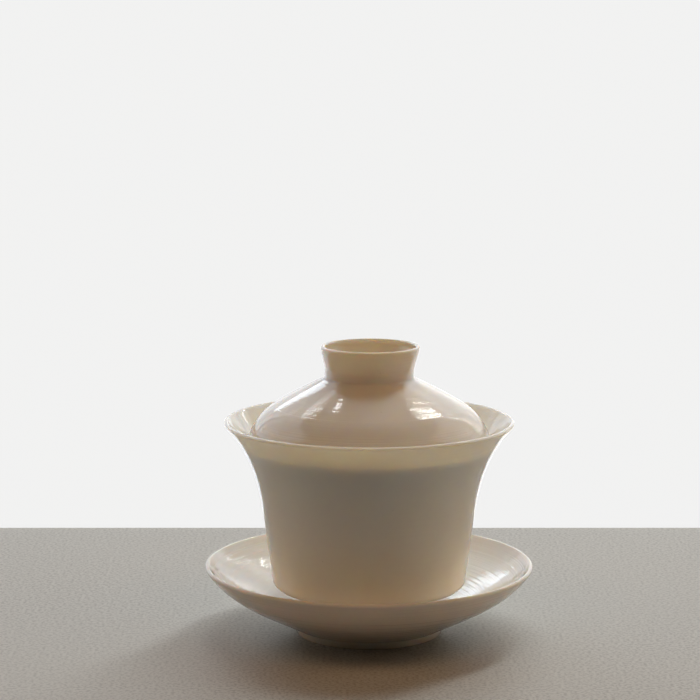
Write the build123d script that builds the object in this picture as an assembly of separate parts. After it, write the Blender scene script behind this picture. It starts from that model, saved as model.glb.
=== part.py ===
"""Gaiwan: a porcelain tea bowl with its lid and its saucer.

Three separately fired pieces, each turned about the upright Z axis. The bowl's
foot ring stands in the saucer's well, and the lid's edge rests a little way
down inside the bowl's flared rim. The origin is the centre of the saucer's foot
ring, on the table. All sizes are in millimetres.
"""

import os
from math import cos, hypot, radians, sin, tan

from build123d import *

# ---- Saucer ---------------------------------------------------------------
SAUCER_RADIUS = 55.7  # outer edge of the rim
SAUCER_HEIGHT = 23.8  # table to the top of the rim
SAUCER_WALL = 2.5  # thickness of the dish near the foot
SAUCER_LIP = 1.5  # thickness at the rounded rim
SAUCER_THINNING = 16.0  # length over which the wall thins to the lip
DISH_LAND = 3.1  # from the edge of the well to where the dish starts
DISH_ROOT_HEIGHT = 4.1  # middle of the wall there
DISH_SLOPE = 0.51  # rise per millimetre outwards, near the root
DISH_CURL_POWER = 6.5  # how late the edge of the dish curls up
SAUCER_FOOT_INSET = 1.15  # foot ring on the table, in from the start of the dish
SAUCER_FOOT_DRAFT = 0.9  # how much wider the ring is at its root
SAUCER_FOOT_WIDTH = 2.7  # width of the ring on the table
SAUCER_FLOOR = 2.4  # thickness under the well
WELL_STEP = 0.7  # depth of the well that the bowl stands in
WELL_BEVEL = 0.5  # slope of the step round the well

# ---- Bowl -----------------------------------------------------------------
BOWL_RIM_RADIUS = 49.0  # outer edge of the flared rim
BOWL_HEIGHT = 68.6  # foot to the top of the rim
BOWL_WALL = 2.4  # thickness of the lower wall
BOWL_LIP = 1.5  # thickness at the rounded rim
BOWL_THINNING = 22.0  # length over which the wall thins to the lip
WALL_FOOT_RADIUS = 31.8  # middle of the wall at its lower end
WALL_TAPER = 0.13  # outward lean of the lower wall
FLARE_DEPTH = 31.4  # how far below the rim the flare starts
FLARE_POWER = 2.57  # how suddenly the flare opens
BELLY_DROP = 2.7  # underside corner below the wall's lower end
BELLY_CORNER = 3.0  # radius of that corner
BELLY_DEPTH = 4.6  # from that corner down to the root of the foot ring
BELLY_KNEE_INSET = 5.4  # from the wall in to the knee of the underside
BELLY_KNEE_DROP = 0.7  # from the corner down to that knee
BOWL_FOOT_RADIUS = 21.8  # outside of the foot ring, at its lower end
BOWL_FOOT_DRAFT = 0.8  # how much wider the ring is at its root
BOWL_FOOT_WIDTH = 2.6  # width of the ring at its lower end
BOWL_FOOT_HEIGHT = 7.0  # foot ring below the underside
BOWL_FLOOR_RISE = 1.3  # inner floor above the root of the foot ring
BOWL_FLOOR = 2.9  # thickness of the floor
BOWL_INNER_CORNER = 15.5  # round of the inside between wall and floor

# ---- Lid ------------------------------------------------------------------
LID_SEAT_DEPTH = 8.6  # seat on the flare, below the bowl's rim
LID_WALL = 2.2  # thickness of the dome
LID_EDGE = 1.6  # thickness at the rounded edge
LID_EDGE_LEAN = 13.5  # degrees that the dome leans in at its edge
LID_SHOULDER_RADIUS = 20.5  # round of the shoulder, outside
LID_SLOPE = 28.2  # degrees of the dome's straight flank
LID_CROWN_RADIUS = 22.0  # round of the inside under the knob
NECK_RADIUS = 15.12  # outside of the knob's collar at its root
NECK_STRAIGHT = 3.2  # upright part of the neck
KNOB_FLARE = 1.54  # how much wider the collar is at its mouth
KNOB_HEIGHT = 10.9  # collar above the dome
KNOB_LIP = 1.4  # thickness of the collar's mouth
KNOB_MOUTH_STRAIGHT = 1.7  # upright part of the mouth
COLLAR_WALL = 2.0  # thickness of the collar at its root
KNOB_FLOOR = 2.3  # thickness of the dome inside the collar

# ---- Fits and small rounds ------------------------------------------------
WELL_CLEARANCE = 0.6  # bowl foot to the side of the well
SEAT_GAP = 0.15  # glaze-to-glaze gap between lid edge and flare
FOOT_ROUND = 0.5  # rubbed edges of the foot rings
ROOT_ROUND = 1.0  # fillets where a foot ring or the collar meets a body
KNEE_ROUND = 5.0  # soft changes of direction
WALL_STATIONS = 8  # spans between the points that carry a curved wall
STATION_CROWDING = 0.8  # under 1 crowds those points towards the lip
KEEP_BELOW = 0.98  # share of the room that a limited fillet may take


def ease(share):
    """Go smoothly from 0 to 1 as share goes from 0 to 1."""
    share = min(max(share, 0.0), 1.0)
    return share * share * (3.0 - 2.0 * share)


def offset_point(point, slope_out, distance):
    """Move a point of a wall's middle line along its outward normal.

    slope_out is the change of radius for each millimetre of height.
    """
    length = hypot(1.0, slope_out)
    return (point[0] + distance / length, point[1] - distance * slope_out / length)


def turned(*lines):
    """Spin a closed half outline, drawn as radius and height, about Z."""
    edges = [edge for line in lines for edge in line.edges()]
    return revolve(Plane.XZ * make_face(edges), Axis.Z, 360)


def round_end(start, end, over):
    """Half round over the end of a wall, from one face to the other."""
    middle = ((start[0] + end[0]) / 2, (start[1] + end[1]) / 2)
    reach = hypot(end[0] - start[0], end[1] - start[1]) / 2
    top = (middle[0] + reach * over[0], middle[1] + reach * over[1])
    return ThreePointArc(start, top, end)


def filleted(points, wanted):
    """Path through points with rounded corners, limited to what the runs hold."""
    radii = []
    for number, radius in enumerate(wanted, start=1):
        before, corner, after = points[number - 1 : number + 2]
        arrive = Vector(corner[0] - before[0], corner[1] - before[1], 0)
        leave = Vector(after[0] - corner[0], after[1] - corner[1], 0)
        half_turn = radians(arrive.get_angle(leave)) / 2
        first_share = 1.0 if number == 1 else 0.5
        last_share = 1.0 if number == len(wanted) else 0.5
        room = min(arrive.length * first_share, leave.length * last_share)
        radii.append(min(radius, KEEP_BELOW * room / tan(half_turn)))
    return FilletPolyline(*points, radius=radii)


# ---- Places that follow from the sizes --------------------------------------
WELL_RADIUS = BOWL_FOOT_RADIUS + WELL_CLEARANCE
DISH_ROOT_RADIUS = WELL_RADIUS + WELL_BEVEL + DISH_LAND
SAUCER_FOOT_RADIUS = DISH_ROOT_RADIUS - SAUCER_FOOT_INSET
BELLY_HEIGHT = BOWL_FOOT_HEIGHT + BELLY_DEPTH
WALL_FOOT_HEIGHT = BELLY_HEIGHT + BELLY_DROP
FLOOR_HEIGHT = BOWL_FOOT_HEIGHT + BOWL_FLOOR_RISE
BOWL_RECESS = FLOOR_HEIGHT - BOWL_FLOOR
KNOB_RADIUS = NECK_RADIUS + KNOB_FLARE


# ---- Middle lines of the curved walls --------------------------------------
def dish_middle(radius):
    """Height and steepness of the middle of the saucer's dish at a radius."""
    reach = SAUCER_RADIUS - SAUCER_LIP / 2 - DISH_ROOT_RADIUS
    straight = DISH_ROOT_HEIGHT + DISH_SLOPE * (radius - DISH_ROOT_RADIUS)
    straight_at_rim = DISH_ROOT_HEIGHT + DISH_SLOPE * reach
    curl = SAUCER_HEIGHT - SAUCER_LIP / 2 - straight_at_rim
    share = (radius - DISH_ROOT_RADIUS) / reach
    steepness = DISH_SLOPE + curl * DISH_CURL_POWER / reach * share ** (DISH_CURL_POWER - 1)
    return straight + curl * share**DISH_CURL_POWER, steepness


def dish_surface(side):
    """Points of the dish's upper (side = 1) or under (side = -1) surface."""
    last = SAUCER_RADIUS - SAUCER_LIP / 2
    points = []
    for station in range(WALL_STATIONS + 1):
        share = (station / WALL_STATIONS) ** STATION_CROWDING
        radius = DISH_ROOT_RADIUS + (last - DISH_ROOT_RADIUS) * share
        height, steepness = dish_middle(radius)
        thinning = ease((last - radius) / SAUCER_THINNING)
        thickness = SAUCER_LIP + (SAUCER_WALL - SAUCER_LIP) * thinning
        points.append(offset_point((radius, height), 1.0 / steepness, -side * thickness / 2))
    return points


def bowl_middle(height):
    """Radius and outward lean of the middle of the bowl's wall at a height."""
    lip_height = BOWL_HEIGHT - BOWL_LIP / 2
    straight = WALL_FOOT_RADIUS + WALL_TAPER * (height - WALL_FOOT_HEIGHT)
    straight_at_lip = WALL_FOOT_RADIUS + WALL_TAPER * (lip_height - WALL_FOOT_HEIGHT)
    flare = BOWL_RIM_RADIUS - BOWL_LIP / 2 - straight_at_lip
    share = max(0.0, 1.0 - (lip_height - height) / FLARE_DEPTH)
    lean = WALL_TAPER + flare * FLARE_POWER / FLARE_DEPTH * share ** (FLARE_POWER - 1)
    return straight + flare * share**FLARE_POWER, lean


def bowl_thickness(height):
    """Thickness of the bowl's wall at a height above its foot."""
    below_lip = BOWL_HEIGHT - BOWL_LIP / 2 - height
    return BOWL_LIP + (BOWL_WALL - BOWL_LIP) * ease(below_lip / BOWL_THINNING)


def bowl_surface(side):
    """Points of the bowl's outer (side = 1) or inner (side = -1) wall, upwards."""
    last = BOWL_HEIGHT - BOWL_LIP / 2
    points = []
    for station in range(WALL_STATIONS + 1):
        share = (station / WALL_STATIONS) ** STATION_CROWDING
        height = WALL_FOOT_HEIGHT + (last - WALL_FOOT_HEIGHT) * share
        radius, lean = bowl_middle(height)
        points.append(offset_point((radius, height), lean, side * bowl_thickness(height) / 2))
    return points


# ---- The three pieces --------------------------------------------------------
UPPER_DISH = dish_surface(1)
UNDER_DISH = dish_surface(-1)
WELL_HEIGHT = UPPER_DISH[0][1] - WELL_STEP  # the bowl's foot stands here


def make_saucer():
    """Shallow dish on a foot ring, with a sunk well for the bowl's foot."""
    _, rim_steepness = dish_middle(SAUCER_RADIUS - SAUCER_LIP / 2)
    root_steepness = dish_middle(DISH_ROOT_RADIUS)[1]
    foot_root = SAUCER_FOOT_RADIUS + SAUCER_FOOT_DRAFT
    back = UNDER_DISH[0][0] - foot_root
    foot_top = UNDER_DISH[0][1] - root_steepness * back
    foot_inside = SAUCER_FOOT_RADIUS - SAUCER_FOOT_WIDTH
    recess = WELL_HEIGHT - SAUCER_FLOOR
    underside = filleted(
        [
            (0, recess),
            (foot_inside - SAUCER_FOOT_DRAFT / 2, recess),
            (foot_inside, 0),
            (SAUCER_FOOT_RADIUS, 0),
            (foot_root, foot_top),
            UNDER_DISH[0],
        ],
        [ROOT_ROUND, FOOT_ROUND, FOOT_ROUND, ROOT_ROUND],
    )
    dish_ends = [(1, root_steepness), (1, rim_steepness)]
    under = Spline(*UNDER_DISH, tangents=dish_ends)
    upper = Spline(*UPPER_DISH, tangents=dish_ends)
    length = hypot(1, rim_steepness)
    rim = round_end(UNDER_DISH[-1], UPPER_DISH[-1], (1 / length, rim_steepness / length))
    well = Polyline(
        UPPER_DISH[0],
        (WELL_RADIUS + WELL_BEVEL, UPPER_DISH[0][1]),
        (WELL_RADIUS, WELL_HEIGHT),
        (0, WELL_HEIGHT),
        (0, recess),
    )
    return turned(underside, under, rim, upper, well)


def make_bowl():
    """Flared bowl on a foot ring, drawn from its own foot and then lifted."""
    outer, inner = bowl_surface(1), bowl_surface(-1)
    rim_lean = bowl_middle(BOWL_HEIGHT - BOWL_LIP / 2)[1]
    belly_radius = outer[0][0] - WALL_TAPER * (outer[0][1] - BELLY_HEIGHT)
    knee = (belly_radius - BELLY_KNEE_INSET, BELLY_HEIGHT - BELLY_KNEE_DROP)
    foot_inside = BOWL_FOOT_RADIUS - BOWL_FOOT_WIDTH
    belly = filleted(
        [
            (0, BOWL_RECESS),
            (foot_inside - BOWL_FOOT_DRAFT, BOWL_RECESS),
            (foot_inside, 0),
            (BOWL_FOOT_RADIUS, 0),
            (BOWL_FOOT_RADIUS + BOWL_FOOT_DRAFT, BOWL_FOOT_HEIGHT),
            knee,
            (belly_radius, BELLY_HEIGHT),
            outer[0],
        ],
        [ROOT_ROUND, FOOT_ROUND, FOOT_ROUND, ROOT_ROUND, KNEE_ROUND, BELLY_CORNER],
    )
    inner_foot = inner[0][0] - WALL_TAPER * (inner[0][1] - FLOOR_HEIGHT)
    corner_top = FLOOR_HEIGHT + BOWL_INNER_CORNER
    kept = [point for point in inner if point[1] > corner_top]
    inside = filleted([kept[0], (inner_foot, FLOOR_HEIGHT), (0, FLOOR_HEIGHT)], [BOWL_INNER_CORNER])
    outer_wall = Spline(*outer, tangents=[(WALL_TAPER, 1), (rim_lean, 1)])
    inner_wall = Spline(*kept, tangents=[(WALL_TAPER, 1), (rim_lean, 1)])
    length = hypot(1, rim_lean)
    rim = round_end(outer[-1], inner[-1], (rim_lean / length, 1 / length))
    axis = Line((0, FLOOR_HEIGHT), (0, BOWL_RECESS))
    bowl = turned(belly, outer_wall, rim, inner_wall, inside, axis)
    return Pos(0, 0, WELL_HEIGHT) * bowl


def make_lid():
    """Low dome with a rounded edge, and a hollow flared collar as its knob."""
    seat = BOWL_HEIGHT - LID_SEAT_DEPTH
    seat_radius, seat_lean = bowl_middle(seat)
    clear = bowl_thickness(seat) / 2 + SEAT_GAP + LID_EDGE / 2
    edge = offset_point((seat_radius, seat + WELL_HEIGHT), seat_lean, -clear)

    def along(angle, distance, start=edge):
        turn = radians(angle)
        return (start[0] + distance * cos(turn), start[1] + distance * sin(turn))

    # Outside: round shoulder, straight flank, neck, flared collar.
    centre = along(LID_EDGE_LEAN, LID_EDGE / 2 - LID_SHOULDER_RADIUS)
    flank_angle = 90 - LID_SLOPE
    outer_edge = along(LID_EDGE_LEAN, LID_SHOULDER_RADIUS, centre)
    halfway = along((LID_EDGE_LEAN + flank_angle) / 2, LID_SHOULDER_RADIUS, centre)
    outer_flank = along(flank_angle, LID_SHOULDER_RADIUS, centre)
    shoulder = ThreePointArc(outer_edge, halfway, outer_flank)
    rise = tan(radians(LID_SLOPE))
    neck_height = outer_flank[1] + rise * (outer_flank[0] - NECK_RADIUS)
    knob_top = neck_height + KNOB_HEIGHT
    mouth = knob_top - KNOB_LIP / 2
    flank_and_collar = filleted(
        [
            outer_flank,
            (NECK_RADIUS, neck_height),
            (NECK_RADIUS, neck_height + NECK_STRAIGHT),
            (KNOB_RADIUS, knob_top - KNOB_MOUTH_STRAIGHT),
            (KNOB_RADIUS, mouth),
        ],
        [ROOT_ROUND, KNEE_ROUND, KNEE_ROUND],
    )
    mouth_inside = KNOB_RADIUS - KNOB_LIP
    mouth_round = round_end((KNOB_RADIUS, mouth), (mouth_inside, mouth), (0, 1))
    cup_floor = neck_height + ROOT_ROUND
    collar_inside = NECK_RADIUS - COLLAR_WALL
    cup = filleted(
        [
            (mouth_inside, mouth),
            (mouth_inside, knob_top - KNOB_MOUTH_STRAIGHT),
            (collar_inside, neck_height + NECK_STRAIGHT),
            (collar_inside, cup_floor),
            (0, cup_floor),
        ],
        [KNEE_ROUND, KNEE_ROUND, ROOT_ROUND],
    )

    # Inside: the same flank a wall's thickness below, under a rounded crown.
    inner_flank = along(flank_angle, LID_SHOULDER_RADIUS - LID_WALL, centre)
    inner_edge = along(LID_EDGE_LEAN, -LID_EDGE / 2)
    crown = cup_floor - KNOB_FLOOR
    crown_radius = inner_flank[0] - (crown - inner_flank[1]) / rise
    inside = filleted([(0, crown), (crown_radius, crown), inner_flank], [LID_CROWN_RADIUS])
    down_the_edge = (sin(radians(LID_EDGE_LEAN)), -cos(radians(LID_EDGE_LEAN)))
    inner_shoulder = Spline(inner_flank, inner_edge, tangents=[(1, -rise), down_the_edge])
    edge_round = round_end(inner_edge, outer_edge, down_the_edge)
    axis = Line((0, cup_floor), (0, crown))
    dome = (inside, inner_shoulder, edge_round, shoulder)
    return turned(*dome, flank_and_collar, mouth_round, cup, axis)


def main():
    """Build the three pieces, write them out and print how they measure."""
    os.makedirs("parts", exist_ok=True)
    pieces = {"saucer": make_saucer(), "bowl": make_bowl(), "lid": make_lid()}
    for name, solid in pieces.items():
        export_step(solid, f"parts/{name}.step")
        box = solid.bounding_box()
        span = f"{box.size.X:.1f} wide, from {box.min.Z:.2f} to {box.max.Z:.2f} high"
        print(f"{name}: {solid.volume:.0f} mm3, {span}")


main()
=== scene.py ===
"""Looks of a porcelain gaiwan: its saucer, its bowl and its lid.

Each piece is thrown again on a wheel of Geometry Nodes from the sizes of the
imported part, with the small unevenness that the plain solid lacks, and is then
glazed. Lengths are metres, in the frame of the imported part.
"""

import logging
from dataclasses import dataclass, field
from enum import Enum
from math import atan2, cos, hypot, pi, radians, sin, tan

import bpy
from mathutils import Matrix, Vector


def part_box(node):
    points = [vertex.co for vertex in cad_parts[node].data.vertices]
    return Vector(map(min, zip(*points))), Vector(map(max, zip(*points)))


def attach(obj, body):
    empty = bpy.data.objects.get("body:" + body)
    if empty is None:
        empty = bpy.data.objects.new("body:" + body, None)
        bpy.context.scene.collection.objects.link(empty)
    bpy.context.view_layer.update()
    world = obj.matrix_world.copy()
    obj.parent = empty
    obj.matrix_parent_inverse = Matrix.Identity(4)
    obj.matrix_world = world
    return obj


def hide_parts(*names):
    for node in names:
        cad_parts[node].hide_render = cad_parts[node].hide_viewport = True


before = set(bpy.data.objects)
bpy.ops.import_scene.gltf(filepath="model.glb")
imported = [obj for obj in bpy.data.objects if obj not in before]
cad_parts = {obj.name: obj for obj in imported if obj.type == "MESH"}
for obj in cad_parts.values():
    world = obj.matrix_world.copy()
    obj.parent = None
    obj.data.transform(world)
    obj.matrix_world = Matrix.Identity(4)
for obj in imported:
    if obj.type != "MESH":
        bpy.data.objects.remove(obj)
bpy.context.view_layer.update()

LOG = logging.getLogger("gaiwan")
MM = 0.001
PIECES = "gaiwan"  # collection of the thrown pieces
Point = tuple[float, float]
Colour = tuple[float, float, float]
Socket = bpy.types.NodeSocket
Value = Socket | float | tuple


# ---- Half outlines ----------------------------------------------------------
def ease(share: float) -> float:
    """Go smoothly from 0 to 1 as share goes from 0 to 1."""
    share = min(max(share, 0.0), 1.0)
    return share * share * (3.0 - 2.0 * share)


def shifted(point: Point, lean: float, distance: float) -> Point:
    """Move a point of a wall's middle line along its outward normal.

    Args:
        point: Radius and height.
        lean: Change of radius for each unit of height.
        distance: How far to move, outwards if above zero.

    Returns:
        The moved point.
    """
    length = hypot(1.0, lean)
    return (point[0] + distance / length, point[1] - distance * lean / length)


def half_round(start: Point, end: Point, over: Point, parts: int = 16) -> list[Point]:
    """Round the end of a wall.

    Args:
        start: Where the round leaves the first face.
        end: Where it meets the other face.
        over: Unit direction from the wall to the top of the round.
        parts: Number of spans.

    Returns:
        Points from start to end.
    """
    middle = ((start[0] + end[0]) / 2, (start[1] + end[1]) / 2)
    arm = (start[0] - middle[0], start[1] - middle[1])
    reach = hypot(*arm)
    turns = [pi * number / parts for number in range(parts + 1)]
    return [
        tuple(middle[i] + arm[i] * cos(turn) + over[i] * reach * sin(turn) for i in (0, 1))
        for turn in turns
    ]


def rounded(
    corners: list[Point], radii: list[float], keep: float = 0.98, spans: int = 14
) -> list[Point]:
    """Round the inner corners of a path with arcs that fit in its runs.

    Args:
        corners: The path's corners, with its two ends.
        radii: Wanted radius at each inner corner.
        keep: Share of a run's room that an arc may take.
        spans: Number of spans in each arc.

    Returns:
        Points along the path.
    """
    path = [corners[0]]
    for number, wanted in enumerate(radii, start=1):
        before, corner, after = (Vector(p) for p in corners[number - 1 : number + 2])
        arrive, leave = corner - before, after - corner
        half_turn = arrive.angle(leave) / 2
        first = 1.0 if number == 1 else 0.5
        last = 1.0 if number == len(radii) else 0.5
        room = min(arrive.length * first, leave.length * last)
        radius = min(wanted, keep * room / tan(half_turn))
        setback = radius * tan(half_turn)
        start = corner - arrive.normalized() * setback
        side = 1.0 if arrive.x * leave.y - arrive.y * leave.x > 0 else -1.0
        centre = start + Vector((-arrive.y, arrive.x)).normalized() * radius * side
        first_angle = atan2(start.y - centre.y, start.x - centre.x)
        for step in range(spans + 1):
            angle = first_angle + side * 2 * half_turn * step / spans
            path.append((centre.x + radius * cos(angle), centre.y + radius * sin(angle)))
    path.append(corners[-1])
    return path


def hermite(
    start: Point, end: Point, leaving: Point, arriving: Point, parts: int = 12
) -> list[Point]:
    """Join two points smoothly, with given directions at the ends.

    Args:
        start: First point.
        end: Last point.
        leaving: Direction of the path at the first point, of any length.
        arriving: Direction of the path at the last point, of any length.
        parts: Number of spans.

    Returns:
        Points from start to end.
    """
    length = hypot(end[0] - start[0], end[1] - start[1])
    first = [c * length / hypot(*leaving) for c in leaving]
    last = [c * length / hypot(*arriving) for c in arriving]
    points = []
    for number in range(parts + 1):
        t = number / parts
        weights = (
            2 * t**3 - 3 * t**2 + 1,
            t**3 - 2 * t**2 + t,
            3 * t**2 - 2 * t**3,
            t**3 - t**2,
        )
        pulls = zip(start, first, end, last)
        points.append(tuple(sum(w * p for w, p in zip(weights, pull)) for pull in pulls))
    return points


@dataclass
class Marks:
    """What the glaze and the potter did along a stretch of the outline, from 0 to 1."""

    rings: float = 0.0  # throwing rings left by the fingers
    thin: float = 0.0  # glaze drawn thin over an edge
    pool: float = 0.0  # glaze gathered thick in a corner
    bare: float = 0.0  # unglazed clay


@dataclass
class Outline:
    """Half section of a turned piece, from its axis below to its axis above."""

    spacing: float = 0.5 * MM
    shortest: float = 0.004 * MM  # a shorter step is skipped
    points: list[Point] = field(default_factory=list)
    marks: list[Marks] = field(default_factory=list)

    def run(self, path: list[Point], marks: Marks) -> None:
        """Add a stretch, with its long spans divided.

        Args:
            path: Radius and height of its points.
            marks: What shows there.
        """
        for point in path:
            if not self.points:
                self.points.append(point)
                self.marks.append(marks)
                continue
            last = self.points[-1]
            length = hypot(point[0] - last[0], point[1] - last[1])
            if length < self.shortest:
                continue
            parts = max(1, round(length / self.spacing))
            for number in range(1, parts + 1):
                share = number / parts
                radius = last[0] + (point[0] - last[0]) * share
                height = last[1] + (point[1] - last[1]) * share
                self.points.append((radius, height))
                self.marks.append(marks)

    def lengths(self) -> list[float]:
        """Measure along the outline.

        Returns:
            The distance to each point.
        """
        total = [0.0]
        for before, after in zip(self.points, self.points[1:]):
            total.append(total[-1] + hypot(after[0] - before[0], after[1] - before[1]))
        return total

    def outward(self) -> list[Point]:
        """Find the way out of the clay.

        Returns:
            A unit direction for each point.
        """
        found = []
        last = len(self.points) - 1
        for number in range(last + 1):
            before = self.points[max(0, number - 1)]
            after = self.points[min(last, number + 1)]
            along = (after[0] - before[0], after[1] - before[1])
            length = hypot(*along)
            found.append((along[1] / length, -along[0] / length))
        return found

    def smoothed(self, name: str, reach: float) -> list[float]:
        """One of the marks, with its ends faded.

        Args:
            name: Field of Marks.
            reach: Distance over which the mark fades.

        Returns:
            A value for each point.
        """
        along = self.lengths()
        raw = [getattr(mark, name) for mark in self.marks]
        values = []
        for number, here in enumerate(along):
            total = weight = 0.0
            for other, there in enumerate(along):
                share = 1.0 - abs(there - here) / reach
                if share > 0.0:
                    total += raw[other] * share
                    weight += share
            values.append(total / weight)
        return values


# ---- Node helpers -----------------------------------------------------------
class Wiring:
    """Adds nodes to one node tree and joins them."""

    def __init__(self, tree: bpy.types.NodeTree) -> None:
        """Keep the tree that is wired."""
        self.tree = tree

    def add(self, kind: str, inputs: dict | None = None, **settings: object) -> bpy.types.Node:
        """Add a node.

        Args:
            kind: Blender's type name of the node.
            inputs: Value or socket for each input, by its name or number.
            settings: Properties of the node.

        Returns:
            The node.
        """
        node = self.tree.nodes.new(kind)
        for name, value in settings.items():
            setattr(node, name, value)
        for name, value in (inputs or {}).items():
            if isinstance(value, Socket):
                self.tree.links.new(value, node.inputs[name])
            else:
                node.inputs[name].default_value = value
        return node

    def sum(self, operation: str, *values: Value) -> Socket:
        """Result of a Math node."""
        node = self.add("ShaderNodeMath", dict(enumerate(values)), operation=operation)
        return node.outputs[0]

    def mix(self, share: Value, first: Value, second: Value) -> Socket:
        """Colour between two colours."""
        inputs = {0: share, 6: first, 7: second}
        return self.add("ShaderNodeMix", inputs, data_type="RGBA").outputs[2]

    def scaled(self, colour: Value, share: Value) -> Socket:
        """Colour made brighter or darker."""
        inputs = {0: colour, "Scale": share}
        return self.add("ShaderNodeVectorMath", inputs, operation="SCALE").outputs[0]

    def remap(
        self, value: Value, low: float, high: float, to_low: float, to_high: float
    ) -> Socket:
        """Carry a value from one range into another, with soft ends.

        Args:
            value: What is carried over.
            low: Start of its range.
            high: End of its range.
            to_low: What the start becomes.
            to_high: What the end becomes.

        Returns:
            The result's socket.
        """
        inputs = {0: value, 1: low, 2: high, 3: to_low, 4: to_high}
        node = self.add("ShaderNodeMapRange", inputs, interpolation_type="SMOOTHSTEP")
        return node.outputs[0]

    def attribute(self, name: str) -> Socket:
        """Value that the wheel stored along the outline."""
        return self.add("ShaderNodeAttribute", attribute_name=name).outputs["Fac"]


def new_group(name: str, kind: str, sockets: list[tuple]) -> bpy.types.NodeTree:
    """Make a node group with named sockets.

    Args:
        name: Name of the group.
        kind: ShaderNodeTree or GeometryNodeTree.
        sockets: Name, direction, type and default (or None) of each socket.

    Returns:
        The empty group.
    """
    tree = bpy.data.node_groups.new(name, kind)
    for label, direction, socket_type, default in sockets:
        socket = tree.interface.new_socket(
            name=label, in_out=direction, socket_type=f"NodeSocket{socket_type}"
        )
        if default is not None:
            socket.default_value = default
    return tree


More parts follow.
